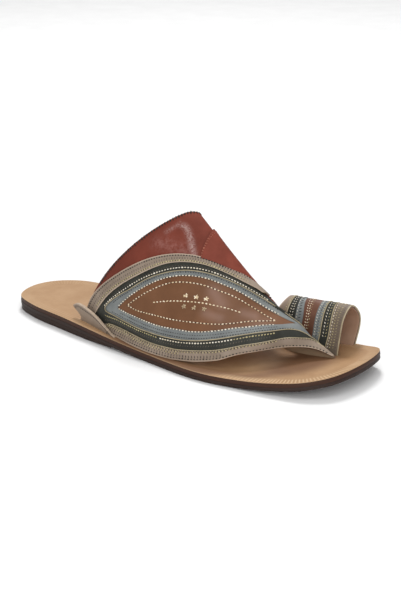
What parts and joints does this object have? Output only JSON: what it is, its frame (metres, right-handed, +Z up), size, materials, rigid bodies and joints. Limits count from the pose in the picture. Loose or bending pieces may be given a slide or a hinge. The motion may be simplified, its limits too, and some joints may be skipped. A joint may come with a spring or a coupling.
{
  "type": "arabic sandal",
  "caption": "Flat leather slip-on sandal for the right foot: high instep panel with a leaf overlay running between the toes, and a loop for the big toe.",
  "frame": {"origin": "Middle of the sandal's box, on the floor plane.", "axes": "X from the heel to the toe, Y towards the big-toe side, Z up."},
  "size_m": [0.2848, 0.1012, 0.0928],
  "materials": {
    "outsole_leather": "satin",
    "heel_leather": "satin",
    "insole_leather": "satin",
    "upper_leather": "gloss",
    "leaf_leather": "satin",
    "flap_leather": "gloss",
    "loop_leather": "satin",
    "tab_leather": "matte"
  },
  "bodies": {
    "root": {"outsole": "outsole_leather", "heel_lift": "heel_leather", "insole": "insole_leather", "upper": "upper_leather", "leaf_panel": "leaf_leather", "instep_flap": "flap_leather", "toe_loop": "loop_leather", "side_tab": "tab_leather"}
  },
  "joints": []
}
